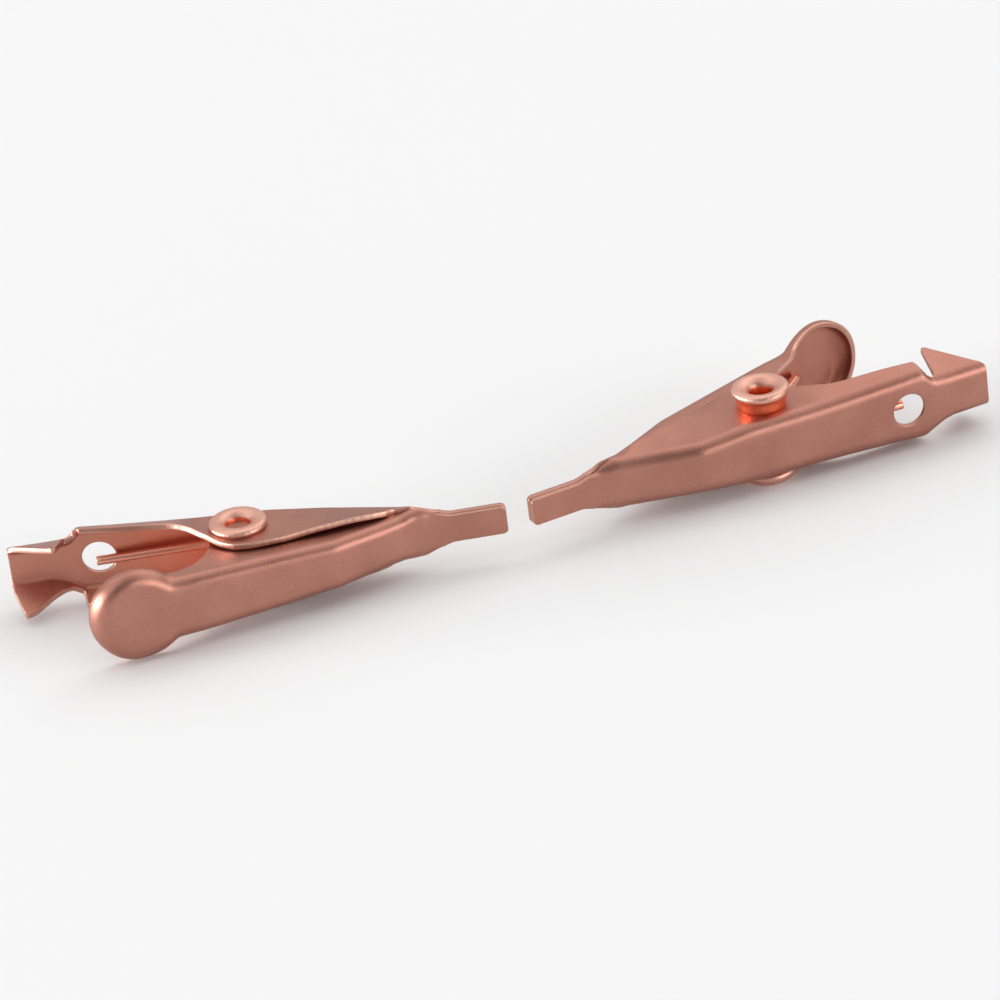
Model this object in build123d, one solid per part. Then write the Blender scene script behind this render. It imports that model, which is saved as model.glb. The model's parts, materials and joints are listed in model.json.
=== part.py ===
from build123d import *
import math
import os

# A pair of small smooth-jaw test clips pressed from copper sheet, lying nose to nose.
# Each clip is a wire lever, a pad lever, a tubular pivot rivet and a torsion spring.
#
# Clip frame: X runs along the clip to its nose, Y points to the wire lever, Z is up along the
# rivet. Y = 0 is the plane where the jaws meet, X = 0 is level with the rivet.
# Pair frame: X runs from the tail of clip A to the tail of clip B, Z = 0 is the resting plane.

# ---- driving dimensions, millimetres and degrees ----
SHEET = 0.35                 # copper sheet thickness
BEND = 0.80                  # outer bend radius between web and flange
JAW_GAP = 0.02               # each jaw stops this short of the meeting plane
NOSE_X = 15.30               # jaw tips
TAIL_X = -13.30              # end of the crimp barrel, so a clip is 28.6 long

PIVOT_Y = 0.49               # rivet axis, on the wire lever's side of the meeting plane
EAR_OUT = 2.00               # outer face of the wire lever's ears, from mid height
PAD_EAR_OUT = 1.55           # outer face of the pad lever's ears, which lie inside
PAD_EAR_RADIUS = 1.50        # round end of the pad lever's ears
SHANK_RADIUS = 0.90          # rivet shank
RUNNING_CLEARANCE = 0.05     # radial, pad lever on the shank
TUBE_RADIUS = 0.66           # bore of the tubular rivet
HEAD_RADIUS = 1.68           # both rolled heads, and the foot
ROLL_RADIUS = 0.225          # section of clip A's head, which is rolled flat on the ear
COLLAR_RADIUS = 1.29         # clip B's rolled ring stands proud on a collar
COLLAR_TOP = 2.50
RING_TOP = 3.22

HOLE_X = -8.10               # wire hole in the wire lever's web
HOLE_RADIUS = 1.00

PAD_X = -6.38                # centre of the thumb pad on its outer face
PAD_Z = 0.20
PAD_RADIUS = 2.80
PAD_ROUND = 1.10             # round between the pad's face and its rim
PAD_SLOPE = 0.226            # the pad lever's face and the pad are one straight slope
PAD_BEND_X = 5.00            # where that slope starts, behind the jaw
PAD_BEND_FACE = 2.78         # distance of the face from the meeting plane there
RIM_START = (-4.70, -4.00)   # X and Y where the pad's rim edge starts
RIM_SLOPE = 0.146            # the rim edge runs nearly along the face

WIRE_DIAMETER = 0.55         # spring wire
COIL_RADIUS = 1.33           # spring coil, to the centre of the wire
COIL_PITCH = 0.56
COIL_TOP = 0.46              # height where the coil turns into the leg on the wire lever
WHOLE_TURNS = 2              # the legs' own angle adds the rest of the last turn
LEG_GAP = 0.03               # between a leg's end and the sheet it presses on
WIRE_LEG_END = (-8.25, -0.05)    # X and Z of the end of the leg on the wire lever
PAD_LEG_END = (-6.10, 0.05)      # X and Z of the end of the leg on the pad

FLOOR_DROP = 2.70            # resting plane below mid height: the rivets' feet stand on it
CLIP_YAW = 10.0              # each clip is turned this much from the pair's axis
NOSE_GAP = 1.45              # between the two noses, along the pair's axis

SECTION_DEPTH = 7.0          # channel sections run this far past the web, then the plan trims them
REACH = 20.0                 # longer than any part of a clip

# Wire lever stations: X, Y of the web's face, half heights at the bend, at the knee, at the open side
WIRE_KNEE_DEPTH = 1.30       # from the web's face to the line where the flange changes slope
WIRE_STATIONS = [
    (15.30, 0.37, 0.85, 0.85, 0.85),
    (12.35, 0.37, 0.85, 0.85, 0.85),
    (11.30, 0.37, 1.20, 1.20, 1.20),
    (10.30, 0.60, 1.60, 1.66, 1.66),
    (8.30, 1.22, 1.47, 1.82, 1.86),
    (5.00, 2.29, 1.60, 1.92, 1.94),
    (1.80, 2.57, 1.84, EAR_OUT, EAR_OUT),
    (-1.80, 2.90, 1.90, EAR_OUT, EAR_OUT),
    (-4.00, 3.09, 1.98, 2.30, 2.75),
    (-9.20, 3.55, 2.10, 2.42, 3.60),
    (-10.60, 3.64, 1.36, 1.80, 3.60),
    (-11.50, 3.68, 1.12, 1.62, 3.70),
    (-13.30, 3.74, 1.08, 1.58, 3.70),
]


def pad_face(x):
    """Distance of the pad lever's outer face from the meeting plane, behind the jaw's slope."""
    return PAD_BEND_FACE + PAD_SLOPE * (PAD_BEND_X - x)


# Pad lever stations, with Y measured away from the meeting plane
PAD_KNEE_DEPTH = 2.60
PAD_STATIONS = [
    (15.30, 0.37, 0.85, 0.85, 0.85),
    (12.35, 0.37, 0.85, 0.85, 0.85),
    (11.30, 0.37, 1.20, 1.20, 1.20),
    (10.30, 0.50, 1.55, 1.35, 1.30),
    (9.20, 0.97, 1.40, 1.15, 1.12),
    (PAD_BEND_X, PAD_BEND_FACE, 1.51, 1.38, 1.38),
    (2.00, pad_face(2.00), 1.67, PAD_EAR_OUT, PAD_EAR_OUT),
    (-2.00, pad_face(-2.00), 1.86, PAD_EAR_OUT, PAD_EAR_OUT),
    (-3.70, pad_face(-3.70), 1.95, 1.75, 1.75),
    (-5.00, pad_face(-5.00), 1.97, 1.90, 1.90),
]


def web_face(stations, x):
    """Y of a lever's outer face at X, by straight lines between its stations."""
    for (x1, y1, *_), (x2, y2, *_) in zip(stations[:-1], stations[1:]):
        if x2 <= x <= x1:
            return y1 + (y2 - y1) * (x - x1) / (x2 - x1)
    raise ValueError("X is past the stations")


def rounded_wire(points, radii, plane):
    """Closed outline through points, each corner rounded to its radius (0 leaves it sharp)."""
    edges = []
    count = len(points)
    ends = []
    arcs = []
    for i, radius in enumerate(radii):
        corner = Vector(*points[i], 0)
        before = (Vector(*points[i - 1], 0) - corner).normalized()
        after = (Vector(*points[(i + 1) % count], 0) - corner).normalized()
        if radius == 0:
            ends.append((corner, corner))
            arcs.append(None)
            continue
        half = math.radians(before.get_angle(after)) / 2
        run = radius / math.tan(half)
        middle = (before + after).normalized()
        top = corner + middle * (radius / math.sin(half) - radius)
        ends.append((corner + before * run, corner + after * run))
        arcs.append(top)
    for i in range(count):
        start, stop = ends[i]
        if arcs[i] is not None:
            edges.append(ThreePointArc(start, arcs[i], stop))
        edges.append(Line(stop, ends[(i + 1) % count][0]))
    return plane * Wire(edges)


def channel_section(station, knee_depth, inset):
    """Section of a lever's channel at one station, drawn in by the sheet thickness for the inside."""
    x, face, bend, knee, open_side = station
    face -= inset
    bend -= inset
    knee -= inset
    open_side -= inset
    knee_y = face - knee_depth
    open_y = face - SECTION_DEPTH
    points = [(open_y, -open_side), (knee_y, -knee), (face, -bend),
              (face, bend), (knee_y, knee), (open_y, open_side)]
    radius = min(BEND - inset, 0.6 * bend)
    plane = Plane(origin=(x, 0, 0), x_dir=(0, 1, 0), z_dir=(1, 0, 0))
    return make_face(rounded_wire(points, [0, 0, radius, radius, 0, 0], plane))


def channel(stations, knee_depth, inset):
    """Solid of the channel's outer shape, or of its hollow when inset by the sheet."""
    sections = [channel_section(station, knee_depth, inset) for station in stations]
    body = loft(sections[:2], ruled=True)
    for first, second in zip(sections[1:-1], sections[2:]):
        body += loft([first, second], ruled=True)
    return body


def plan_prism(outline, bottom, top):
    """Upright prism between two heights on a plan outline."""
    return extrude(Pos(0, 0, bottom) * make_face(outline), top - bottom)


def wire_plan(tail):
    """Plan of the wire lever: ears round the rivet, straight flanges, then a tail outline."""
    meeting = JAW_GAP
    ear = Spline((9.2, meeting), (5.7, -0.85), (2.6, -1.62), (0.35, -1.95), (-1.2, -1.20),
                 (-2.5, 0.35), (-4.1, 1.38), tangents=[(-1, -0.2), (-1, 0.17)])
    corner = (-9.2, 2.34)
    edges = [Line((REACH, meeting), (9.2, meeting)), ear, Line((-4.1, 1.38), corner)]
    edges += tail(corner)
    edges += [Line((TAIL_X, 6.0), (REACH, 6.0)), Line((REACH, 6.0), (REACH, meeting))]
    return Wire(edges)


def upper_tail(corner):
    """Narrow slit with a round end, then a wing that is longest beside the slit."""
    slit_near = (-9.40, 2.80)
    slit_round = (-9.66, 3.05)
    slit_far = (-9.95, 2.75)
    tip = (-10.45, 0.85)
    blunt = (-10.70, 0.85)
    knee = (-12.85, 2.95)
    return [Line(corner, slit_near), ThreePointArc(slit_near, slit_round, slit_far),
            Line(slit_far, tip), Line(tip, blunt), Line(blunt, knee),
            Line(knee, (TAIL_X, 3.30)), Line((TAIL_X, 3.30), (TAIL_X, 6.0))]


def lower_tail(corner):
    """Shallow round notch, then a wing that is longest at the tail's end."""
    notch_near = (-9.27, 2.60)
    notch_round = (-9.58, 2.90)
    notch_far = (-9.95, 2.82)
    shoulder = (-12.15, 1.25)
    tip = (-12.80, 1.05)
    return [Line(corner, notch_near), ThreePointArc(notch_near, notch_round, notch_far),
            Line(notch_far, shoulder), Line(shoulder, tip),
            Line(tip, (TAIL_X, 3.10)), Line((TAIL_X, 3.10), (TAIL_X, 6.0))]


def pivot_hole(radius):
    return Pos(0, PIVOT_Y, 0) * Cylinder(radius, 2 * REACH)


def wire_hole_place():
    """Place in the middle of the web's thickness at the wire hole, its Y square to the web."""
    rise = web_face(WIRE_STATIONS, HOLE_X - 0.5) - web_face(WIRE_STATIONS, HOLE_X + 0.5)
    face = Pos(HOLE_X, web_face(WIRE_STATIONS, HOLE_X), 0)
    return face * Rot(0, 0, -math.degrees(math.atan(rise))) * Pos(0, -SHEET / 2, 0)


def wire_lever():
    """Channel with ears outside the pad lever's, a wire hole and a two-wing crimp barrel."""
    shell = channel(WIRE_STATIONS, WIRE_KNEE_DEPTH, 0) - channel(WIRE_STATIONS, WIRE_KNEE_DEPTH, SHEET)
    upper = plan_prism(wire_plan(upper_tail), 0, REACH)
    lower = plan_prism(wire_plan(lower_tail), -REACH, 0)
    lever = (shell & upper) + (shell & lower)
    hole = wire_hole_place() * Rot(90, 0, 0) * Cylinder(HOLE_RADIUS, 2.0)
    return lever - hole - pivot_hole(SHANK_RADIUS)


def pad_cup(inset):
    """Drum of the thumb pad, or its hollow, square to the sloping face and rounded over to it."""
    depth = 3.0
    drum = Rot(90, 0, 0) * Cylinder(PAD_RADIUS - inset, depth)
    drum = fillet(drum.edges().sort_by(Axis.Y)[0], PAD_ROUND - inset)
    tilt = math.atan(PAD_SLOPE)
    face = Pos(PAD_X, inset - pad_face(PAD_X), PAD_Z) * Rot(0, 0, math.degrees(tilt))
    return face * Pos(0, depth / 2, 0) * drum


def pad_plan():
    """Plan of the pad lever: flanges to the meeting plane, ears past the rivet, then the pad's rim."""
    meeting = -JAW_GAP
    ear_tail = (-PAD_EAR_RADIUS, PIVOT_Y)
    ear_front = (PAD_EAR_RADIUS, PIVOT_Y)
    neck = (-3.30, -3.00)
    rim_x, rim_y = RIM_START
    rim_end = (-REACH, rim_y - RIM_SLOPE * (REACH + rim_x))
    edges = [
        Line((REACH, meeting), (4.5, meeting)),
        Line((4.5, meeting), ear_front),
        ThreePointArc(ear_front, (0, PIVOT_Y + PAD_EAR_RADIUS), ear_tail),
        Line(ear_tail, (-1.86, -0.73)),
        ThreePointArc((-1.86, -0.73), (-2.33, -1.88), neck),
        Line(neck, RIM_START),
        Line(RIM_START, rim_end),
        Line(rim_end, (-REACH, -8.0)),
        Line((-REACH, -8.0), (REACH, -8.0)),
        Line((REACH, -8.0), (REACH, meeting)),
    ]
    return Wire(edges)


def pad_lever():
    """Channel with ears inside the wire lever's and a shallow round thumb pad."""
    outside = mirror(channel(PAD_STATIONS, PAD_KNEE_DEPTH, 0), Plane.XZ) + pad_cup(0)
    inside = mirror(channel(PAD_STATIONS, PAD_KNEE_DEPTH, SHEET), Plane.XZ) + pad_cup(SHEET)
    lever = (outside - inside) & plan_prism(pad_plan(), -REACH, REACH)
    return lever - pivot_hole(SHANK_RADIUS + RUNNING_CLEARANCE)


def rivet(proud):
    """Tubular rivet: a preformed foot below, and a rolled head above, flat on the ear or proud of it."""
    foot = -FLOOR_DROP
    with BuildSketch(Plane.XZ) as profile:
        with BuildLine():
            Polyline((TUBE_RADIUS, foot), (HEAD_RADIUS - 0.3, foot))
            ThreePointArc((HEAD_RADIUS - 0.3, foot), (HEAD_RADIUS, foot + 0.34), (HEAD_RADIUS - 0.35, -EAR_OUT))
            Polyline((HEAD_RADIUS - 0.35, -EAR_OUT), (SHANK_RADIUS, -EAR_OUT), (SHANK_RADIUS, EAR_OUT))
            if proud:
                collar_end = (COLLAR_RADIUS, COLLAR_TOP)
                ring_end = (COLLAR_RADIUS, RING_TOP)
                bore_end = (TUBE_RADIUS, COLLAR_TOP)
                Polyline((SHANK_RADIUS, EAR_OUT), (COLLAR_RADIUS, EAR_OUT), collar_end)
                ThreePointArc(collar_end, (HEAD_RADIUS, (COLLAR_TOP + RING_TOP) / 2), ring_end)
                ThreePointArc(ring_end, (TUBE_RADIUS + 0.16, RING_TOP - 0.20), bore_end)
                Line(bore_end, (TUBE_RADIUS, EAR_OUT))
            else:
                crown = EAR_OUT + 2 * ROLL_RADIUS
                Line((SHANK_RADIUS, EAR_OUT), (HEAD_RADIUS - ROLL_RADIUS, EAR_OUT))
                middle = (HEAD_RADIUS + TUBE_RADIUS) / 2
                ThreePointArc((HEAD_RADIUS - ROLL_RADIUS, EAR_OUT), (HEAD_RADIUS, EAR_OUT + ROLL_RADIUS),
                              (HEAD_RADIUS - ROLL_RADIUS, crown))
                Line((HEAD_RADIUS - ROLL_RADIUS, crown), (middle, crown))
                ThreePointArc((middle, crown), (TUBE_RADIUS + 0.15, crown - 0.15), (TUBE_RADIUS, EAR_OUT))
            Line((TUBE_RADIUS, EAR_OUT), (TUBE_RADIUS, foot))
        make_face()
    return Pos(0, PIVOT_Y, 0) * revolve(profile.sketch, Axis.Z)


def tangent_angle(point, side):
    """Angle on the coil, in degrees, where the straight line from a point touches it."""
    across = point[1] - PIVOT_Y
    distance = math.hypot(point[0], across)
    return math.degrees(math.atan2(across, point[0]) - side * math.acos(COIL_RADIUS / distance))


def rod(start, end):
    """Round rod with a ball at its start, where the spring wire turns."""
    line = Line(start, end)
    section = Plane(origin=start, z_dir=Vector(*end) - Vector(*start)) * Circle(WIRE_DIAMETER / 2)
    return sweep(section, line) + Pos(*start) * Sphere(WIRE_DIAMETER / 2)


def spring():
    """Torsion spring: a coil round the rivet and a straight leg to each lever."""
    sheet_to_leg = SHEET + WIRE_DIAMETER / 2 + LEG_GAP
    wire_y = web_face(WIRE_STATIONS, WIRE_LEG_END[0]) - sheet_to_leg
    wire_end = (WIRE_LEG_END[0], wire_y, WIRE_LEG_END[1])
    pad_end = (PAD_LEG_END[0], sheet_to_leg - pad_face(PAD_LEG_END[0]), PAD_LEG_END[1])
    first = tangent_angle(pad_end, -1)
    last = tangent_angle(wire_end, 1)
    turns = WHOLE_TURNS + ((last - first) % 360) / 360
    height = turns * COIL_PITCH
    helix = Helix(COIL_PITCH, height, COIL_RADIUS)
    helix = Pos(0, PIVOT_Y, COIL_TOP - height) * Rot(0, 0, first) * helix
    section = Plane(origin=helix @ 0, z_dir=helix % 0) * Circle(WIRE_DIAMETER / 2)
    coil = sweep(section, helix, is_frenet=True)
    return coil + rod(tuple(helix @ 0), pad_end) + rod(tuple(helix @ 1), wire_end)


def clip_place(side):
    """Place of a clip in the pair: side -1 is clip A, 1 is clip B. Both noses point to the middle."""
    yaw = -CLIP_YAW if side < 0 else 180 + CLIP_YAW
    reach = math.radians(CLIP_YAW)
    x = side * (NOSE_GAP / 2 + NOSE_X * math.cos(reach))
    y = NOSE_X * math.sin(reach)
    return Pos(x, y, FLOOR_DROP) * Rot(0, 0, yaw)


def build_pair():
    """Every piece of both clips, by node name."""
    lever = wire_lever()
    pad = pad_lever()
    coil = spring()
    nodes = {}
    for letter, side in (("a", -1), ("b", 1)):
        place = clip_place(side)
        nodes["wire_lever_" + letter] = place * lever
        nodes["pad_lever_" + letter] = place * pad
        nodes["rivet_" + letter] = place * rivet(proud=side > 0)
        nodes["spring_" + letter] = place * coil
    return nodes


def centre_on_floor(nodes):
    """Move the pair so that its box is centred on X and Y and stands on Z = 0."""
    boxes = [shape.bounding_box() for shape in nodes.values()]
    low = Vector(*(min(tuple(box.min)[i] for box in boxes) for i in range(3)))
    high = Vector(*(max(tuple(box.max)[i] for box in boxes) for i in range(3)))
    shift = Pos(-(low.X + high.X) / 2, -(low.Y + high.Y) / 2, -low.Z)
    for letter, side in (("a", -1), ("b", 1)):
        pivot = shift * clip_place(side) * Pos(0, PIVOT_Y, 0)
        hole = shift * clip_place(side) * wire_hole_place()
        hole_axis = (hole * Pos(0, 1, 0)).position - hole.position
        print("clip", letter, "pivot", tuple(pivot.position))
        print("clip", letter, "wire hole", tuple(hole.position), "along", tuple(hole_axis))
    return {name: shift * shape for name, shape in nodes.items()}


os.makedirs("parts", exist_ok=True)
for node_name, node_shape in centre_on_floor(build_pair()).items():
    export_step(node_shape, "parts/" + node_name + ".step")
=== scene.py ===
import json
import math

import bmesh
import bpy
import numpy as np
from mathutils import Matrix, Vector


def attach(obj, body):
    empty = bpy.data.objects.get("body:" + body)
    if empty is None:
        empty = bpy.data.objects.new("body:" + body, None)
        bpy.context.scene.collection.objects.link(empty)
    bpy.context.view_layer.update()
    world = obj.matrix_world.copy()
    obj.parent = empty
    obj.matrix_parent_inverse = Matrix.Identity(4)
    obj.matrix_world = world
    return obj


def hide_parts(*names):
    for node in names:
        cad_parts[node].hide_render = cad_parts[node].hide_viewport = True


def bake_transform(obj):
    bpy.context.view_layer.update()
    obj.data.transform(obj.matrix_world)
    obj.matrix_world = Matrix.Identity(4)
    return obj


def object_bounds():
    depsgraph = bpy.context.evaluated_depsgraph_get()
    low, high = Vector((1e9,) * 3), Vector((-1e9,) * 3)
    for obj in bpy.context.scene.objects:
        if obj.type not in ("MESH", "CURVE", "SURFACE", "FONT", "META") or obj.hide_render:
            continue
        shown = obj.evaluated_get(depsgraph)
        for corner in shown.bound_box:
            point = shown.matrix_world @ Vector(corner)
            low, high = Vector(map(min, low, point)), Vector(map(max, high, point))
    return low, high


# Two copper test clips lying nose to nose. Each lever is one bent sheet, laid out as a grid of
# points over its outer face, thickened along its normals and closed with rounded cut edges.
# Clip frame, in millimetres: u to the nose, v to the wire lever, w up along the rivet.
# v = 0 is the plane where the jaws meet, u = 0 is level with the rivet.

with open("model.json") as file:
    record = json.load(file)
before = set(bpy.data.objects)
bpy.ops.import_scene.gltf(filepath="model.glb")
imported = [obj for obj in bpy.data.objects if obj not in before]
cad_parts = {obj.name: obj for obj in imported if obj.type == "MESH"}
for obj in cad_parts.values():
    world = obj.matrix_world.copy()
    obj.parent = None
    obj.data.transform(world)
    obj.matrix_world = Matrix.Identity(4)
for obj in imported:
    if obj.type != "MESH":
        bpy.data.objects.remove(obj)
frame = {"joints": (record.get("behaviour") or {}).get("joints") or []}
cad_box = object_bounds()

SHEET = 0.35
EDGE = 0.05                     # rounding of every cut edge
NOSE_U = 15.30                  # jaw tips
TAIL_U = -13.30                 # end of the crimp barrel
NOSE_ROUND = 0.32               # corners of the jaw tab
PIVOT_V = 0.49
YAW = {"a": -10.0, "b": 190.0}  # degrees, each clip's u axis from the pair's X
HALF_ROWS = 32                  # rows of the grid on each side of mid height
BEND_SHARE = 2.0                # rows lie this much closer on the bends
HOLE_U = -8.10
HOLE_RADIUS = 1.00
HOLE_HALF = 0.85                # half side of the block of cells that becomes the hole
PAD_U = -6.53
PAD_W = 0.20
PAD_RADIUS = 2.80
PAD_SLOPE = 0.226               # the pad lever's face and the pad are one straight slope
PAD_FACE = 2.78 + PAD_SLOPE * (5.0 - PAD_U)
PAD_RIM = 4.40                  # height of the pad's rim edge level with the pad's centre
PAD_RIM_FALL = 0.363            # the rim edge is this much lower at the far end of the pad
PAD_EAR_RADIUS = 1.5            # round end of the pad lever's ears
SHEAR_WAVE = 0.46               # millimetres from one shear mark's swell to the next on a cut edge
SHEAR_HEIGHT = 0.006            # how far a swell stands out
SHEAR_PITCH = 0.15              # millimetres between the fine lines of the shear marks


# ---------------------------------------------------------------- curves
def eased(knots, u, reach):
    """Straight runs between knots, with each corner eased over reach to both sides."""
    knots = sorted(knots)
    at = np.array([k[0] for k in knots])
    value = np.array([k[1] for k in knots])
    offsets = np.linspace(-1, 1, 15)
    weights = np.cos(offsets * math.pi / 2) ** 2 + 1e-6
    total = sum(w * np.interp(u + reach * o, at, value) for w, o in zip(weights, offsets))
    return total / weights.sum()


def flowing(knots, u):
    """Smooth curve through knots that never overshoots them (monotone cubic)."""
    knots = sorted(knots)
    x = np.array([k[0] for k in knots], float)
    y = np.array([k[1] for k in knots], float)
    h = np.diff(x)
    d = np.diff(y) / h
    m = np.zeros_like(y)
    same = d[:-1] * d[1:] > 0
    w1 = 2 * h[1:] + h[:-1]
    w2 = h[1:] + 2 * h[:-1]
    with np.errstate(divide="ignore", invalid="ignore"):
        inner = (w1 + w2) / (w1 / d[:-1] + w2 / d[1:])
    m[1:-1] = np.where(same, inner, 0)
    m[0], m[-1] = d[0], d[-1]
    i = np.clip(np.searchsorted(x, u) - 1, 0, len(h) - 1)
    t = np.clip((u - x[i]) / h[i], 0, 1)
    return (y[i] * (1 + 2 * t) * (1 - t) ** 2 + m[i] * h[i] * t * (1 - t) ** 2
            + y[i + 1] * t * t * (3 - 2 * t) - m[i + 1] * h[i] * t * t * (1 - t))


def stations(*runs):
    """Values along a line: each run is (start, end, step), and joins the next."""
    found = []
    for start, end, step in runs:
        count = max(1, round(abs(end - start) / step))
        found.extend(np.linspace(start, end, count, endpoint=False))
    return np.array(found + [runs[-1][1]])


# ---------------------------------------------------------------- sections
def half_section(face, shoulder, radius, lean, edge, share, hold_shoulder):
    """Point on half a section of a lever: web, bend, then a straight flange that leans outwards.

    face is the web's height, shoulder the half height where the bend ends, edge the height of the
    cut edge, and share the way along from the middle to the cut edge. Where hold_shoulder is true,
    a flange too low to finish its bend keeps its width. Gives (height, half height, turn so far).
    """
    turn = math.pi / 2 - np.radians(lean)
    drop = face - SHEET - edge
    whole = (radius - SHEET) * (1 - np.cos(turn))
    bent = np.arccos(1 - np.clip(drop, 0, None) / (radius - SHEET + 1e-9)
                     * (drop < whole)) * (drop < whole) + turn * (drop >= whole)
    straight = np.where(drop > whole, (face - radius * (1 - np.cos(turn)) - SHEET * np.cos(turn)
                                       - edge) / np.sin(turn), 0)
    flat = shoulder - radius * np.sin(np.where(hold_shoulder, bent, turn))
    total = flat + radius * bent + straight
    weighted = flat + BEND_SHARE * radius * bent + straight
    # the last EDGE of the sheet is left for the rounded cut edge
    along = share * (weighted - EDGE * np.where(straight > EDGE, 1, np.where(bent > 0.1, BEND_SHARE, 1)))
    on_flat = np.minimum(along, flat)
    on_bend = np.clip((along - flat) / BEND_SHARE, 0, radius * bent)
    on_straight = np.clip(along - flat - BEND_SHARE * radius * bent, 0, None)
    angle = on_bend / radius
    half = on_flat + radius * np.sin(angle) + on_straight * np.cos(bent)
    height = face - radius * (1 - np.cos(angle)) - on_straight * np.sin(bent)
    return height, half, angle, on_straight


def smooth_max(a, b, soft):
    return 0.5 * (a + b + np.sqrt((a - b) ** 2 + soft ** 2))


def grid_normals(points, up):
    """Unit normals of a grid of points, on the side of up at the grid's middle row."""
    along = np.gradient(points, axis=0)
    across = np.gradient(points, axis=1)
    normal = np.cross(along, across)
    normal /= np.linalg.norm(normal, axis=2, keepdims=True) + 1e-12
    if (normal[:, normal.shape[1] // 2] @ np.array(up)).mean() < 0:
        normal = -normal
    return normal


# ---------------------------------------------------------------- the two levers
def nose_cut(u, shoulder):
    """Half height of the jaw tab, with its two corners rounded."""
    into = np.clip(u - (NOSE_U - NOSE_ROUND), 0, NOSE_ROUND)
    return shoulder - (NOSE_ROUND - np.sqrt(NOSE_ROUND ** 2 - into ** 2 + 1e-9))


def wire_grid():
    """Outer face of the wire lever, as points (u, v, w), and which cells are the wire hole."""
    end = TAIL_U + EDGE
    u = stations((end, -12.85, 0.07), (-12.85, -10.70, 0.12), (-10.70, -10.45, 0.045),
                 (-10.45, -9.90, 0.045), (-9.90, -9.45, 0.04), (-9.45, -8.95, 0.05),
                 (-8.95, -7.25, 1.70 / 14), (-7.25, -3.5, 0.15), (-3.5, 9.5, 0.09),
                 (9.5, 12.6, 0.09), (12.6, 14.95, 0.25), (14.95, NOSE_U - EDGE, 0.025))
    share = np.linspace(0, 1, HALF_ROWS + 1)[None, :]
    face = eased([(15.3, .37), (11.28, .37), (10.0, .67), (5.0, 2.29), (-9.2, 3.55), (-10.6, 3.64),
                  (-13.3, 3.74)], u, 0.40)
    ear = [(8.95, .02), (8.3, -.38), (5.7, -.92), (3.4, -1.40), (1.8, -1.80), (0.5, -1.95),
           (-0.3, -1.83), (-1.0, -1.38), (-2.0, -.17), (-2.5, .35), (-3.0, .78), (-4.0, 1.34),
           (-5.0, 1.57)]
    upper_flange = [(-7.0, 1.87), (-9.1, 2.30)]
    lower_flange = [(-7.0, 1.70), (-9.1, 1.85)]
    slit = [(-9.1, 2.30), (-9.22, 2.46), (-9.34, 2.88), (-9.50, 3.06), (-10.02, 3.06),
            (-10.18, 2.88), (-10.28, 2.45), (-10.60, .80), (-10.80, .86), (-12.88, 3.02),
            (-13.3, 3.30)]
    notch = [(-9.1, 1.85), (-9.2, 1.95), (-9.30, 2.80), (-9.42, 2.88), (-9.90, 2.88), (-10.05, 2.80),
             (-12.15, 1.25), (-12.75, 1.05), (-13.3, 3.10)]
    shoulder_front = [(15.3, .85), (12.1, .85), (11.2, 1.12), (10.4, 1.46), (9.85, 1.66), (9.3, 1.60),
                      (8.3, 1.60), (5.0, 1.62), (1.8, 1.92), (0.0, 1.94), (-1.8, 1.95), (-4.0, 1.98),
                      (-5.0, 2.03), (-7.0, 2.12), (-9.2, 2.25)]
    lean_front = [(15.3, 0), (11.3, 0), (10.0, 4), (8.9, 12), (8.3, 13), (5.0, 8), (2.0, 1.8),
                  (-1.0, 1.8), (-2.0, 5), (-3.0, 14), (-4.0, 19), (-9.2, 20)]
    upper_shoulder = [(-9.8, 1.62), (-10.5, 1.55), (-11.2, 1.53), (-13.3, 1.52)]
    lower_shoulder = [(-9.9, 1.80), (-10.4, 1.50), (-11.0, 1.36), (-13.3, 1.34)]
    upper_lean = [(-10.6, 18), (-13.3, 18)]
    lower_lean = [(-10.6, 22), (-13.3, 22)]
    sides = []
    for flange, tail_edge, tail_shoulder, tail_lean, tail_radius in (
            (upper_flange, slit, upper_shoulder, upper_lean, .75),
            (lower_flange, notch, lower_shoulder, lower_lean, .52)):
        front_edge = flowing([(15.3, .02), (9.3, .02)] + ear + flange, u)
        edge = np.where(u > -9.1, front_edge, eased(tail_edge, u, 0.07))
        shoulder = nose_cut(u, eased(shoulder_front + tail_shoulder, u, 0.32))
        lean = flowing(lean_front + tail_lean, u)
        radius = flowing([(15.3, .75), (-9.2, .78), (-10.6, tail_radius), (-13.3, tail_radius)], u)
        columns = [x[:, None] for x in (face, shoulder, radius, lean, edge)]
        height, half, _, _ = half_section(*columns, share, (u > 8.0)[:, None])
        sides.append((height, half))
    (top_v, top_w), (low_v, low_w) = sides
    v = np.hstack([low_v[:, :0:-1], top_v])
    w = np.hstack([-low_w[:, :0:-1], top_w])
    points = np.stack([np.broadcast_to(u[:, None], v.shape), v, w], axis=2)
    return open_hole(u, points)


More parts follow.
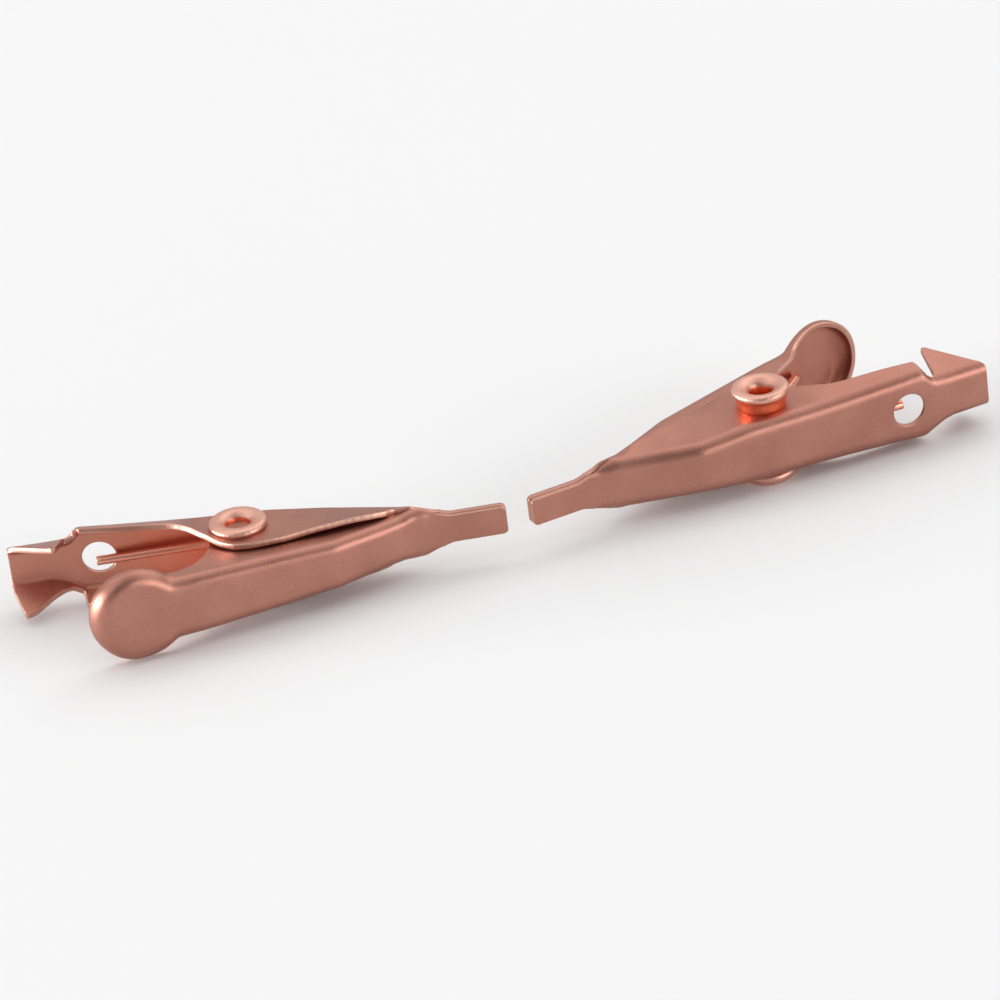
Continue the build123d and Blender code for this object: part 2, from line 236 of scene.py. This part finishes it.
def open_hole(u, points):
    """Pulls the rows and columns round the wire hole into rings, so that a block of cells is round.
    Gives the moved points and the cells of that block."""
    points = points.copy()
    rows = points.shape[1]
    middle = rows // 2
    at = int(np.argmin(np.abs(u - HOLE_U)))
    w_step = abs(points[at, middle + 1, 2])
    block = round(HOLE_HALF / w_step)
    x = (u - HOLE_U)[:, None] / HOLE_HALF * np.ones((1, rows))
    y = (np.arange(rows) - middle)[None, :] / block * np.ones((len(u), 1))
    ring = np.maximum(np.abs(x), np.abs(y))
    length = np.hypot(x, y) + 1e-9
    blend = np.clip((ring - 1) / 0.55, 0, 1)
    blend = blend * blend * (3 - 2 * blend)
    inside = ring < 1.6
    new_u = HOLE_U + x / length * ring * (HOLE_RADIUS + EDGE)
    new_w = y / length * ring * (HOLE_RADIUS + EDGE)
    slope = (points[at + 3, middle, 1] - points[at - 3, middle, 1]) / (u[at + 3] - u[at - 3])
    moved_u = new_u * (1 - blend) + points[:, :, 0] * blend
    points[:, :, 2] = np.where(inside, new_w * (1 - blend) + points[:, :, 2] * blend, points[:, :, 2])
    points[:, :, 1] = np.where(inside, points[:, :, 1] + slope * (moved_u - points[:, :, 0]), points[:, :, 1])
    points[:, :, 0] = np.where(inside, moved_u, points[:, :, 0])
    within = ring <= 1.001
    cells = within[:-1, :-1] & within[1:, 1:] & within[:-1, 1:] & within[1:, :-1]
    return points, cells


def pad_grid():
    """Outer face of the pad lever, as points (u, v, w), and its normals."""
    u = stations((NOSE_U - EDGE, 14.95, 0.025), (14.95, 12.6, 0.25), (12.6, 9.5, 0.09), (9.5, 4.6, 0.16),
                 (4.6, 2.0, 0.12), (2.0, -2.2, 0.07), (-2.2, -3.6, 0.09), (-3.6, PAD_U, 0.11))
    share = np.linspace(0, 1, HALF_ROWS + 1)[None, :]
    far_face = PAD_FACE + PAD_SLOPE * (PAD_U + 9.5)
    face = eased([(15.3, .37), (11.28, .37), (10.0, .58), (5.2, 2.72), (-9.5, far_face)],
                 u, np.where(u < 7.5, 0.12, 0.42))
    body = eased([(15.3, .85), (12.1, .85), (11.18, 1.12), (10.48, 1.50), (9.88, 1.58), (9.25, 1.42),
                  (8.0, 1.41), (5.0, 1.51), (2.0, 1.65), (-2.0, 1.83), (-3.7, 1.87), (-9.0, 1.90)],
                 u, 0.36)
    disc = np.sqrt(np.clip(PAD_RADIUS ** 2 - (u - PAD_U) ** 2, 0.01, None))
    rounding = 0.22 * np.clip((u - PAD_U) / 1.5, 0, 1)
    shoulder = nose_cut(u, np.where(u < -2.5, smooth_max(body, disc, rounding), body))
    into_pad = np.clip((-3.6 - u) / (-3.6 - PAD_U), 0, 1)
    middle = PAD_W * into_pad ** 2 * (3 - 2 * into_pad)
    radius = flowing([(15.3, .62), (-2.5, .68), (-3.6, .75), (PAD_U, .85)], u)
    lean = flowing([(15.3, 0), (11.3, 0), (10.0, -3), (8.5, -5), (5.0, -5), (2.0, -5), (-2.0, -6),
                    (-3.7, -5), (-5.0, -1), (-6.0, 0), (PAD_U, 0)], u)
    # the ears end in a round about the rivet
    rise = np.sqrt(np.clip(PAD_EAR_RADIUS ** 2 - u ** 2, 0, None)) + PIVOT_V
    edge = flowing([(15.3, .02), (4.9, .02), (3.0, -.20), (1.5, -.52), (-1.5, -.46), (-1.63, -.40),
                    (-1.86, .73), (-2.33, 1.88), (-3.01, 2.82), (-3.73, 3.25), (-4.3, 3.60),
                    (-4.7, 4.00), (-5.34, 4.20), (-6.0, 4.31), (PAD_U, PAD_RIM)], u)
    edge = np.where(np.abs(u) < PAD_EAR_RADIUS, np.minimum(edge, -rise), edge)
    least_half = eased([(15.3, .5), (11.3, .6), (10.0, 1.26), (5.0, 1.40), (2.0, 1.55), (-2.0, 1.55),
                        (-3.7, 1.74), (-6.5, 1.8)], u, 0.3)
    columns = [x[:, None] for x in (face, shoulder, radius, lean, edge)]
    height, half, _, straight = half_section(*columns, share, (u > 8.0)[:, None])
    half = np.where(straight > 0, smooth_max(half, least_half[:, None], 0.04), half)
    height = np.hstack([height[:, :0:-1], height])
    half = np.hstack([-half[:, :0:-1], half]) + middle[:, None]
    body_points = np.stack([np.broadcast_to(u[:, None], height.shape), -height, half], axis=2)
    body_normals = grid_normals(body_points, (0, -1, 0))

    # the round end: a half square of rows and columns is wrapped on the half disc
    s = stations((0, 1, 1 / 34))[1:, None]
    t = np.linspace(-1, 1, 2 * HALF_ROWS + 1)[None, :]
    x = s * np.sqrt(1 - t * t / 2)
    y = t * np.sqrt(1 - s * s / 2)
    share = np.hypot(x, y)
    back = x / (share + 1e-12)
    side = y / (share + 1e-12)
    edge = PAD_RIM - PAD_RIM_FALL * back
    same = np.ones_like(edge)
    height, reach, angle, _ = half_section(PAD_FACE * same, PAD_RADIUS * same, 0.85 + 0.85 * back ** 2,
                                           0 * same, edge, share, False)
    disc_points = np.stack([PAD_U - reach * back, -height - PAD_SLOPE * reach * back,
                            PAD_W + reach * side], axis=2)
    disc_normals = np.stack([-np.sin(angle) * back + PAD_SLOPE * np.cos(angle), -np.cos(angle),
                             np.sin(angle) * side], axis=2)
    disc_normals /= np.linalg.norm(disc_normals, axis=2, keepdims=True)
    return np.vstack([body_points, disc_points]), np.vstack([body_normals, disc_normals])


# ---------------------------------------------------------------- sheet to solid
def sheet_mesh(name, points, normals, removed, ticks, painted_bounce_amount, place):
    """Thick sheet from its outer face. removed marks the cells of a hole, ticks gives how much the
    shear marks and the painted highlight stand on the cut edge at each point of the grid, and the grid after
    it how much painted bounce light falls on the inner skin."""
    rows, columns = points.shape[:2]
    inner = points - SHEET * normals
    verts = list(points.reshape(-1, 3)) + list(inner.reshape(-1, 3))
    half = rows * columns
    cut_edge = [0.0] * (2 * half)
    # how much painted bounce light each point gets, none on the outer skin
    inside = [0.0] * half + list(painted_bounce_amount.ravel())
    edge_run = [0.0] * (2 * half)

    def index(i, j, side=0):
        return side * half + i * columns + j

    faces = []
    outward = np.cross(points[1, 0] - points[0, 0], points[0, 1] - points[0, 0]) @ normals[0, 0] > 0
    for i in range(rows - 1):
        for j in range(columns - 1):
            if removed is not None and removed[i, j]:
                continue
            quad = [index(i, j), index(i + 1, j), index(i + 1, j + 1), index(i, j + 1)]
            faces.append(quad if outward else quad[::-1])
            back = [q + half for q in quad]
            faces.append(back[::-1] if outward else back)
    loops = [([(i, 0) for i in range(rows)] + [(rows - 1, j) for j in range(1, columns)]
              + [(i, columns - 1) for i in range(rows - 2, -1, -1)]
              + [(0, j) for j in range(columns - 2, 0, -1)], 1)]
    if removed is not None:
        i_cells, j_cells = np.nonzero(removed)
        i0, i1, j0, j1 = i_cells.min(), i_cells.max() + 1, j_cells.min(), j_cells.max() + 1
        loops.append(([(i, j0) for i in range(i0, i1)] + [(i1, j) for j in range(j0, j1)]
                      + [(i, j1) for i in range(i1, i0, -1)] + [(i0, j) for j in range(j1, j0, -1)], -1))
    # the rounded cut edge: how far each row stands out, in EDGE, and how deep it lies in the sheet
    profile = [(0.62, 0.22 * EDGE), (1.0, EDGE), (1.0, SHEET / 2), (1.0, SHEET - EDGE),
               (0.62, SHEET - 0.22 * EDGE)]
    for loop, sense in loops:
        at = np.array([points[i, j] for i, j in loop])
        up = np.array([normals[i, j] for i, j in loop])
        tangent = np.roll(at, -1, 0) - np.roll(at, 1, 0)
        tangent /= np.linalg.norm(tangent, axis=1, keepdims=True) + 1e-12
        out = np.cross(tangent, up) * sense
        out /= np.linalg.norm(out, axis=1, keepdims=True) + 1e-12
        step = np.linalg.norm(np.roll(at, -1, 0) - at, axis=1)
        run = np.concatenate([[0], np.cumsum(step)[:-1]])
        lift = np.array([ticks[i, j] for i, j in loop])
        shear = np.sin(run * 2 * math.pi / SHEAR_WAVE + 1.3 * np.sin(run * 2.1)) * SHEAR_HEIGHT * lift
        if not outward:
            out = -out
        ids = [[index(i, j) for i, j in loop]]
        for depth_row, (advance, depth) in enumerate(profile):
            swell = shear if 0 < depth_row < len(profile) - 1 else 0.5 * shear
            ring = at + out * (advance * EDGE + swell)[:, None] - up * depth
            start = len(verts)
            verts.extend(ring)
            # strength of the painted highlight and of the shear marks on this ring of the cut edge
            cut_edge.extend(0.35 + 0.65 * lift)
            inside.extend([0.0] * len(ring))
            edge_run.extend(run)
            ids.append(list(range(start, start + len(ring))))
        ids.append([index(i, j, 1) for i, j in loop])
        flip = (sense > 0) == bool(outward)
        for a, b in zip(ids[:-1], ids[1:]):
            for k in range(len(loop)):
                n = (k + 1) % len(loop)
                quad = [a[k], a[n], b[n], b[k]]
                faces.append(quad[::-1] if flip else quad)
    return mesh_object(name, verts, faces, place, cut_edge=cut_edge, inside=inside, edge_run=edge_run)


def mesh_object(name, verts, faces, place, **values):
    """Smooth-shaded object from points in the clip frame, with a value of each kind for every point."""
    mesh = bpy.data.meshes.new(name)
    placed = [place @ Vector([float(c) for c in p]) for p in verts]
    mesh.from_pydata(placed, [], faces)
    for key, value in values.items():
        attribute = mesh.attributes.new(key, "FLOAT", "POINT")
        attribute.data.foreach_set("value", np.array(value, np.float32))
    mesh.update()
    bm = bmesh.new()
    bm.from_mesh(mesh)
    loose = [v for v in bm.verts if not v.link_faces]
    bmesh.ops.delete(bm, geom=loose, context="VERTS")
    bmesh.ops.recalc_face_normals(bm, faces=bm.faces)
    bm.to_mesh(mesh)
    bm.free()
    mesh.polygons.foreach_set("use_smooth", [True] * len(mesh.polygons))
    obj = bpy.data.objects.new(name, mesh)
    bpy.context.scene.collection.objects.link(obj)
    return obj


# ---------------------------------------------------------------- rivets and springs
# outlines of half a rivet, as (radius, w): the foot, clip A's head rolled flat on the ear, and
# clip B's ring, which stands proud on a collar
FOOT = [(0.66, -2.40), (0.69, -2.56), (0.78, -2.66), (0.95, -2.70), (1.25, -2.70), (1.42, -2.67),
        (1.56, -2.58), (1.65, -2.44), (1.68, -2.26), (1.64, -2.10), (1.52, -2.01), (0.90, -2.0)]
ROLLED = [(0.90, 1.92), (1.50, 1.93), (1.62, 2.00), (1.68, 2.12), (1.69, 2.22), (1.65, 2.32),
          (1.56, 2.40), (1.42, 2.45), (1.22, 2.46), (1.04, 2.42), (0.90, 2.34), (0.76, 2.20),
          (0.66, 2.02), (0.62, 1.80)]
PROUD = [(0.90, 1.92), (1.40, 1.92), (1.43, 2.05), (1.48, 2.40), (1.53, 2.62), (1.61, 2.73),
         (1.67, 2.85), (1.70, 3.0), (1.66, 3.12), (1.55, 3.20), (1.38, 3.23), (1.18, 3.19),
         (0.98, 3.09), (0.80, 2.93), (0.68, 2.70), (0.62, 2.4), (0.60, 2.0)]
HEAD = {"a": ROLLED, "b": PROUD}
WRINKLE = {"a": 0.006, "b": 0.002}  # height of the wrinkles, as a share of the radius
WRINKLE_FROM = 2.05             # the wrinkles start at this w
BORE_LIMIT = 0.74               # surfaces inside this radius get the painted bounce light of the bore


def rivet_mesh(name, head, place, wrinkle):
    """Tubular rivet turned about its axis. The head's rim has fine radial wrinkles from rolling."""
    profile = []
    corners = FOOT[:] + head
    count = len(corners)
    for i in range(count):
        a, b = np.array(corners[i]), np.array(corners[(i + 1) % count])
        pieces = max(1, round(np.linalg.norm(b - a) / 0.12))
        for k in range(pieces):
            profile.append(a + (b - a) * k / pieces)
    profile = np.array(profile)
    segments = 120
    verts, faces, painted_reflection = [], [], []
    for k in range(segments):
        angle = 2 * math.pi * k / segments
        for r, z in profile:
            bump = 0.0
            if z > WRINKLE_FROM:
                bump = wrinkle * (math.sin(31 * angle + 1.7 * math.sin(3 * angle))
                                  + 0.6 * math.sin(53 * angle + 2)) * min(1, (z - WRINKLE_FROM) / 0.3)
            r2 = r * (1 + bump)
            # painted reflection: the bore, and clip B's collar under its ring, are painted deep orange-red
            # for reflected copper and shade
            bore = r < BORE_LIMIT
            collar = 1.2 < r < 1.62 and 1.90 < z < 2.75 and head is PROUD
            painted_reflection.append(1.0 if bore or collar else 0.0)
            verts.append((r2 * math.cos(angle), PIVOT_V + r2 * math.sin(angle), z))
    n = len(profile)
    for k in range(segments):
        nxt = (k + 1) % segments
        for i in range(n):
            j = (i + 1) % n
            faces.append([k * n + i, nxt * n + i, nxt * n + j, k * n + j])
    return mesh_object(name, verts, faces, place, inside=painted_reflection)


WIRE = 0.55
COIL_RADIUS = 1.33
COIL_PITCH = 0.56
COIL_TOP = 0.46
WHOLE_TURNS = 2
# ends of each spring's legs, as (u, v, w)
WIRE_LEG_END = {"a": (-8.25, 2.84, -0.05), "b": (-7.95, 2.80, 0.15)}
PAD_LEG_END = {"a": (-6.10, -4.62, 0.05), "b": (-4.95, -4.36, 0.05)}


def spring_path(wire_leg_end, pad_leg_end):
    """Middle line of the spring from the pad's leg through the coil to the wire lever's leg,
    with each point's share of the way through the coil."""
    def touch(point, side):
        across = point[1] - PIVOT_V
        return math.atan2(across, point[0]) - side * math.acos(COIL_RADIUS / math.hypot(point[0], across))

    first = touch(pad_leg_end, -1)
    last = touch(wire_leg_end, 1)
    turns = WHOLE_TURNS + ((last - first) % (2 * math.pi)) / (2 * math.pi)
    steps = 44 * WHOLE_TURNS
    coil = []
    for k in range(steps + 1):
        share = k / steps
        angle = first + share * turns * 2 * math.pi
        height = COIL_TOP - turns * COIL_PITCH * (1 - share)
        coil.append((COIL_RADIUS * math.cos(angle), PIVOT_V + COIL_RADIUS * math.sin(angle), height))
    coil = np.array(coil)

    def leg(end, start):
        """Points of a straight leg from the coil to its end."""
        return [start + (np.array(end) - start) * k / 24 for k in range(1, 25)]

    pad = leg(pad_leg_end, coil[0])[::-1]
    wire = leg(wire_leg_end, coil[-1])
    path = np.array(pad + list(coil) + wire)
    share = np.array([0.0] * len(pad) + list(np.linspace(0, 1, steps + 1)) + [1.0] * len(wire))
    for _ in range(3):
        path[1:-1] = 0.25 * path[:-2] + 0.5 * path[1:-1] + 0.25 * path[2:]
    return path, share


def spring_mesh(name, place, wire_leg_end, pad_leg_end):
    """Round wire along the spring's path, with its ends cut square and slightly rounded. Also gives
    each vertex its share of the way from the pad's leg to the wire lever's leg."""
    path, share = spring_path(wire_leg_end, pad_leg_end)
    sides = 20
    radius = WIRE / 2
    tangent = np.gradient(path, axis=0)
    tangent /= np.linalg.norm(tangent, axis=1, keepdims=True)
    normal = np.cross(tangent[0], (0, 0, 1.0))
    verts, shares, rings = [], [], []

    def ring(centre, t, n, r, s):
        b = np.cross(t, n)
        rings.append(len(verts))
        for k in range(sides):
            a = 2 * math.pi * k / sides
            verts.append(centre + r * (math.cos(a) * n + math.sin(a) * b))
            shares.append(s)

    for i, point in enumerate(path):
        normal = normal - tangent[i] * (normal @ tangent[i])
        normal = normal / np.linalg.norm(normal)
        if i == 0:
            ring(point - tangent[i] * 0.04, tangent[i], normal, radius * 0.80, share[i])
            ring(point - tangent[i] * 0.03, tangent[i], normal, radius * 0.93, share[i])
        ring(point, tangent[i], normal, radius, share[i])
        if i == len(path) - 1:
            ring(point + tangent[i] * 0.03, tangent[i], normal, radius * 0.93, share[i])
            ring(point + tangent[i] * 0.04, tangent[i], normal, radius * 0.80, share[i])
    faces = []
    for a, b in zip(rings[:-1], rings[1:]):
        for k in range(sides):
            n = (k + 1) % sides
            faces.append([a + k, a + n, b + n, b + k])
    faces.append([rings[0] + k for k in range(sides)][::-1])
    faces.append([rings[-1] + k for k in range(sides)])
    return mesh_object(name, verts, faces, place), shares


# ---------------------------------------------------------------- materials
def copper(name, light, dark, painted_bounce_colour, rough, grain, seed):
    """Tumbled copper. The outer skin is dulled from light to dark in soft patches; painted bounce light fills
    the inner skin, painted reflection and shade colour a rivet's bore and collar, and the cut edges get a
    painted highlight with fine shear marks across them."""
    material = bpy.data.materials.new(name)
    material.use_nodes = True
    tree = material.node_tree
    tree.nodes.clear()
    link = tree.links.new
    out = tree.nodes.new("ShaderNodeOutputMaterial")
    shader = tree.nodes.new("ShaderNodeBsdfPrincipled")
    shader.inputs["Metallic"].default_value = 1.0
    link(shader.outputs[0], out.inputs[0])
    place = tree.nodes.new("ShaderNodeTexCoord")
    move = tree.nodes.new("ShaderNodeMapping")
    move.inputs["Location"].default_value = (seed, seed * 0.7, -seed)
    link(place.outputs["Object"], move.inputs[0])

    def noise(scale, detail, roughness=0.55):
        made = tree.nodes.new("ShaderNodeTexNoise")
        made.inputs["Scale"].default_value = scale
        made.inputs["Detail"].default_value = detail
        made.inputs["Roughness"].default_value = roughness
        link(move.outputs[0], made.inputs["Vector"])
        return made.outputs[0]

    def ramp(source, low, high, a, b):
        made = tree.nodes.new("ShaderNodeMapRange")
        made.inputs["From Min"].default_value = low
        made.inputs["From Max"].default_value = high
        made.inputs["To Min"].default_value = a
        made.inputs["To Max"].default_value = b
        link(source, made.inputs["Value"])
        return made.outputs[0]

    def maths(operation, first, second):
        made = tree.nodes.new("ShaderNodeMath")
        made.operation = operation
        for socket, value in zip(made.inputs, (first, second)):
            if isinstance(value, float):
                socket.default_value = value
            else:
                link(value, socket)
        return made.outputs[0]

    def blend(factor, first, second, kind="MIX"):
        made = tree.nodes.new("ShaderNodeMix")
        made.data_type = "RGBA"
        made.blend_type = kind
        for key, value in (("Factor", factor), ("A", first), ("B", second)):
            if isinstance(value, float):
                made.inputs[key].default_value = value
            elif isinstance(value, tuple):
                made.inputs[key].default_value = (*value, 1)
            else:
                link(value, made.inputs[key])
        return made.outputs["Result"]

    def stored(key):
        made = tree.nodes.new("ShaderNodeAttribute")
        made.attribute_name = key
        return made.outputs["Fac"]

    patches = noise(450, 3)
    speckle = noise(9000, 2, 0.6)
    fine = noise(26000, 2, 0.5)
    skin = blend(ramp(patches, 0.30, 0.70, 0.0, 1.0), dark, light)
    tone = ramp(speckle, 0.25, 0.75, 0.90, 1.08)
    grey = tree.nodes.new("ShaderNodeCombineColor")
    for channel in ("Red", "Green", "Blue"):
        link(tone, grey.inputs[channel])
    skin = blend(1.0, skin, grey.outputs[0], "MULTIPLY")
    # painted bounce light and reflection: the inner skin, the rivets' bore and clip B's collar are mixed
    # towards a glowing orange
    skin = blend(stored("inside"), skin, painted_bounce_colour)
    # shear marks: lines across the cut edge, evenly spaced along it but for a little wander
    wander = maths("MULTIPLY", noise(1500, 1), 9.0)
    phase = maths("ADD", maths("MULTIPLY", stored("edge_run"), 2 * math.pi / SHEAR_PITCH), wander)
    mark = maths("MULTIPLY", maths("SINE", phase, 0.0), stored("cut_edge"))
    # painted highlight: the cut edges are mixed towards a pale colour where they catch the light
    skin = blend(ramp(stored("cut_edge"), 0.0, 1.0, 0.0, 0.85), skin, EDGE_PAINTED_HIGHLIGHT)
    skin = blend(ramp(mark, 0.0, 0.9, 0.0, 0.60), skin, EDGE_DARK)
    link(skin, shader.inputs["Base Color"])
    broad_rough = ramp(patches, 0.3, 0.7, rough - 0.04, rough + 0.04)
    fine_rough = ramp(speckle, 0.3, 0.7, -0.03, 0.03)
    link(maths("ADD", broad_rough, fine_rough), shader.inputs["Roughness"])
    grains = maths("ADD", ramp(fine, 0.2, 0.8, 0.0, 0.6), ramp(speckle, 0.2, 0.8, 0.0, 1.0))
    bump = tree.nodes.new("ShaderNodeBump")
    bump.inputs["Strength"].default_value = grain
    bump.inputs["Distance"].default_value = 0.00001
    link(grains, bump.inputs["Height"])
    link(bump.outputs[0], shader.inputs["Normal"])
    return material


# ---------------------------------------------------------------- building both clips
def clip_place(letter):
    """Clip frame in millimetres to the row frame in metres, from the squeeze joint's place."""
    joint = next(j for j in frame["joints"] if j["name"] == f"clip_{letter}_squeeze")
    return (Matrix.Translation(joint["pos_m"]) @ Matrix.Rotation(math.radians(YAW[letter]), 4, "Z")
            @ Matrix.Scale(0.001, 4) @ Matrix.Translation((0, -PIVOT_V, 0)))


def finish_piece(piece, node_name, body, material):
    piece.data.materials.append(material)
    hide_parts(node_name)
    if body:
        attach(piece, body)


LIGHT = (0.49, 0.228, 0.174)
DARK = (0.42, 0.187, 0.141)
# painted bounce light: the orange the inner skin is mixed towards
PAINTED_BOUNCE = (0.86, 0.33, 0.22)
# painted highlight on the cut edges
EDGE_PAINTED_HIGHLIGHT = (0.80, 0.48, 0.38)
EDGE_DARK = (0.50, 0.25, 0.18)
RIVET_LIGHT = (0.78, 0.44, 0.35)
RIVET_DARK = (0.70, 0.37, 0.28)
# painted reflection and shade in the rivets' bore and under clip B's ring
RIVET_PAINTED_REFLECTION = (0.82, 0.195, 0.09)
SPRING_LIGHT = (0.86, 0.42, 0.30)
SPRING_DARK = (0.76, 0.34, 0.24)
SEED = {"a": 3.0, "b": 11.0}    # moves the patches, so that no two pieces share them


def tick_strength(points):
    """Shear marks, and the painted highlight on the cut edges, are full round the ears and fade out towards
    both ends of a lever.
    """
    return np.clip(1 - np.abs((points[:, :, 0] - 2.0) / 8.0) ** 6, 0, 1)


wire_points, wire_hole = wire_grid()
wire_normals = grid_normals(wire_points, (0, 1, 0))
wire_ticks = tick_strength(wire_points)
# painted bounce light on the wire lever's inner skin: faint at the tail, full from 4.5 mm behind the rivet to
# the nose
wire_painted_bounce = 0.25 + 0.65 * np.clip((wire_points[:, :, 0] + 9.0) / 4.5, 0, 1)
pad_points, pad_normals = pad_grid()
# painted bounce light on the pad lever's inner skin: faint on the pad, full from 2.5 mm behind the rivet to
# the nose
pad_painted_bounce = 0.15 + 0.75 * np.clip((pad_points[:, :, 0] + 5.5) / 3.0, 0, 1)
pad_ticks = tick_strength(pad_points)
for letter in "ab":
    place = clip_place(letter)
    fixed, moving = f"clip_{letter}", f"clip_{letter}_jaw"
    shift = SEED[letter]
    wire_lever = sheet_mesh(f"wire_lever_sheet_{letter}", wire_points, wire_normals, wire_hole,
                            wire_ticks, wire_painted_bounce, place)
    finish_piece(wire_lever, f"wire_lever_{letter}", fixed,
                 copper(f"wire_lever_copper_{letter}", LIGHT, DARK, PAINTED_BOUNCE, 0.40, 0.5, shift))
    pad_lever = sheet_mesh(f"pad_lever_sheet_{letter}", pad_points, pad_normals, None,
                           pad_ticks, pad_painted_bounce, place)
    finish_piece(pad_lever, f"pad_lever_{letter}", moving,
                 copper(f"pad_lever_copper_{letter}", LIGHT, DARK, PAINTED_BOUNCE, 0.40, 0.5, shift + 5))
    rivet = rivet_mesh(f"rivet_tube_{letter}", HEAD[letter], place, WRINKLE[letter])
    finish_piece(rivet, f"rivet_{letter}", fixed,
                 copper(f"rivet_copper_{letter}", RIVET_LIGHT, RIVET_DARK, RIVET_PAINTED_REFLECTION,
                        0.42, 0.5, shift + 9))
    coil, shares = spring_mesh(f"spring_coil_{letter}", place, WIRE_LEG_END[letter],
                               PAD_LEG_END[letter])
    finish_piece(coil, f"spring_{letter}", None,
                 copper(f"spring_copper_{letter}", SPRING_LIGHT, SPRING_DARK, PAINTED_BOUNCE, 0.34, 0.3, shift + 2))
    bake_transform(coil)

# ---------------------------------------------------------------- floor, lights, camera
FLOOR_HALF = 3                  # metres
corners = [(-FLOOR_HALF, -FLOOR_HALF, 0), (FLOOR_HALF, -FLOOR_HALF, 0),
           (FLOOR_HALF, FLOOR_HALF, 0), (-FLOOR_HALF, FLOOR_HALF, 0)]
floor_mesh = bpy.data.meshes.new("floor")
floor_mesh.from_pydata(corners, [], [(0, 1, 2, 3)])
floor = bpy.data.objects.new("floor", floor_mesh)
bpy.context.scene.collection.objects.link(floor)
floor_material = bpy.data.materials.new("floor_paper")
floor_material.use_nodes = True
floor_shader = floor_material.node_tree.nodes["Principled BSDF"]
floor_shader.inputs["Base Color"].default_value = (0.86, 0.86, 0.86, 1)
floor_shader.inputs["Roughness"].default_value = 0.9
floor_mesh.materials.append(floor_material)


def panel(name, azimuth, elevation, distance, size, power):
    """Soft white light aimed at the clips: angles in degrees, lengths in metres, power in watts."""
    light = bpy.data.lights.new(name, "AREA")
    light.shape = "RECTANGLE"
    light.size, light.size_y = size
    light.energy = power
    obj = bpy.data.objects.new(name, light)
    a, e = math.radians(azimuth), math.radians(elevation)
    away = Vector((math.sin(a) * math.cos(e), math.cos(a) * math.cos(e), math.sin(e)))
    obj.location = away * distance
    obj.rotation_euler = away.to_track_quat("Z", "Y").to_euler()
    bpy.context.scene.collection.objects.link(obj)


panel("back_light", 14, 45, 1.0, (2.4, 1.4), 6.4)
panel("left_key", -90, 55, 0.8, (1.0, 1.0), 2.4)
panel("right_key", 80, 55, 0.8, (1.0, 1.0), 2.4)
panel("left_strip", -84, 6, 0.8, (0.5, 0.14), 7.0)
panel("right_strip", 136, 14, 0.8, (0.7, 0.4), 2.8)

world = bpy.data.worlds.new("studio")
world.use_nodes = True
world.node_tree.nodes["Background"].inputs[0].default_value = (1, 1, 1, 1)
world.node_tree.nodes["Background"].inputs[1].default_value = 0.26
scene = bpy.context.scene
scene.world = world
scene.view_settings.view_transform = "Standard"

# the camera looks at a point close to the middle of the pair, from in front and above
CAMERA_AZIMUTH = 14.105         # degrees, from the Y axis towards X
CAMERA_ELEVATION = 28.433
CAMERA_ROLL = -7.272
CAMERA_DISTANCE = 0.34843       # metres
AIM_FROM_MIDDLE = Vector((-0.00066, -0.00044, -0.00109))
camera_data = bpy.data.cameras.new("camera")
camera_data.sensor_width = 36
camera_data.lens = 216
camera_data.clip_start = 0.01
camera = bpy.data.objects.new("camera", camera_data)
turn = (Matrix.Rotation(math.radians(-CAMERA_AZIMUTH), 4, "Z")
        @ Matrix.Rotation(math.radians(90 - CAMERA_ELEVATION), 4, "X")
        @ Matrix.Rotation(math.radians(CAMERA_ROLL), 4, "Z"))
aim = (Vector(cad_box[0]) + Vector(cad_box[1])) / 2 + AIM_FROM_MIDDLE
camera.matrix_world = Matrix.Translation(aim) @ turn @ Matrix.Translation((0, 0, CAMERA_DISTANCE))
scene.collection.objects.link(camera)
scene.camera = camera
